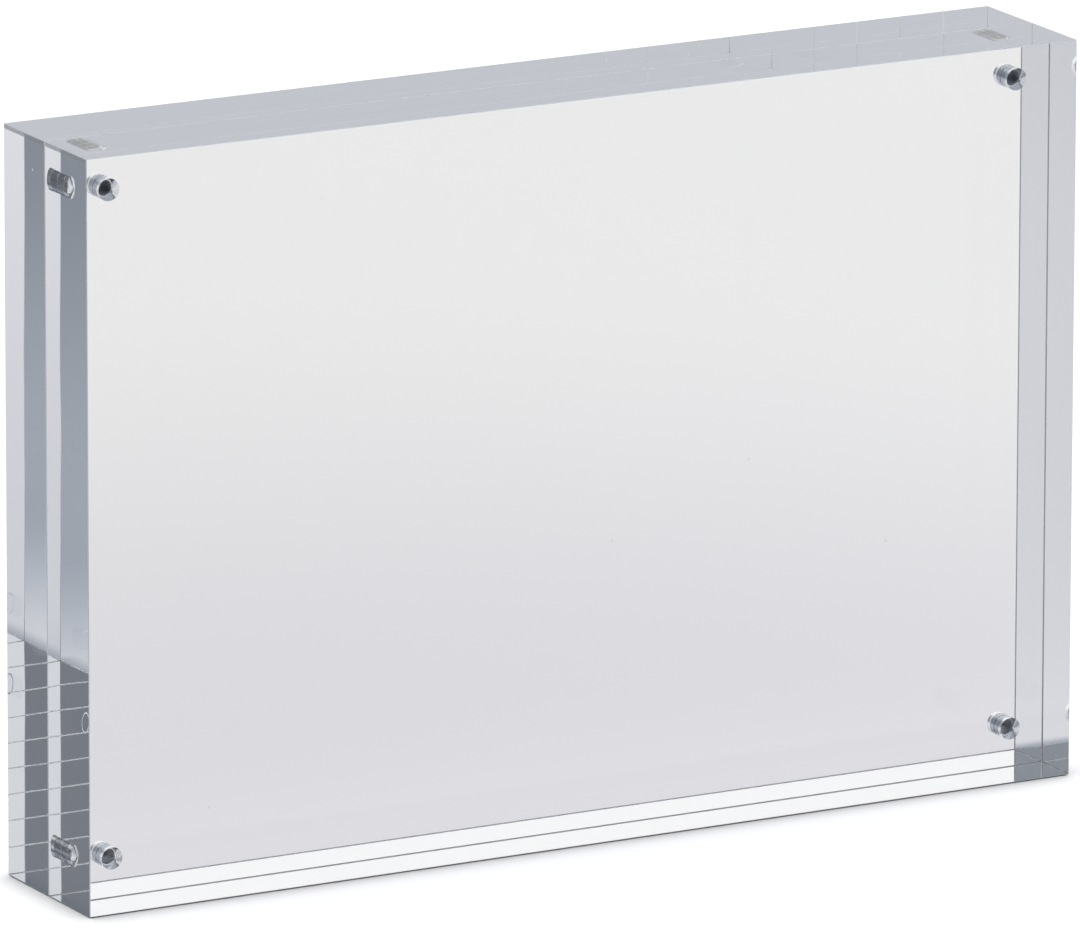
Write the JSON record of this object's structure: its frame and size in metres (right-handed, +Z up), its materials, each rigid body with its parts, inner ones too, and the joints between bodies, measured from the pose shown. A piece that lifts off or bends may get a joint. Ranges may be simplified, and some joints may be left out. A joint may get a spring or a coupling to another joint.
{
  "type": "acrylic block photo frame",
  "caption": "Thick clear acrylic blocks, front and rear, that facing corner magnets hold together so that a print shows between them. Stands on its long edge.",
  "frame": {"origin": "middle of the footprint, on the surface the frame stands on", "axes": "+X along the long side, +Y from the front block to the rear block, +Z up"},
  "size_m": [0.152, 0.0242, 0.104],
  "materials": {
    "clear_acrylic": "polished",
    "plated_magnet": "polished"
  },
  "bodies": {
    "rear": {"rear_block": "clear_acrylic", "rear_magnet_top_left": "plated_magnet", "rear_magnet_top_right": "plated_magnet", "rear_magnet_bottom_left": "plated_magnet", "rear_magnet_bottom_right": "plated_magnet"},
    "front": {"front_block": "clear_acrylic", "front_magnet_top_left": "plated_magnet", "front_magnet_top_right": "plated_magnet", "front_magnet_bottom_left": "plated_magnet", "front_magnet_bottom_right": "plated_magnet"}
  },
  "joints": [
    {"name": "front_pull", "type": "slide", "parent": "rear", "child": "front", "axis": [0, -1, 0], "range_m": [0, 0.05]}
  ]
}
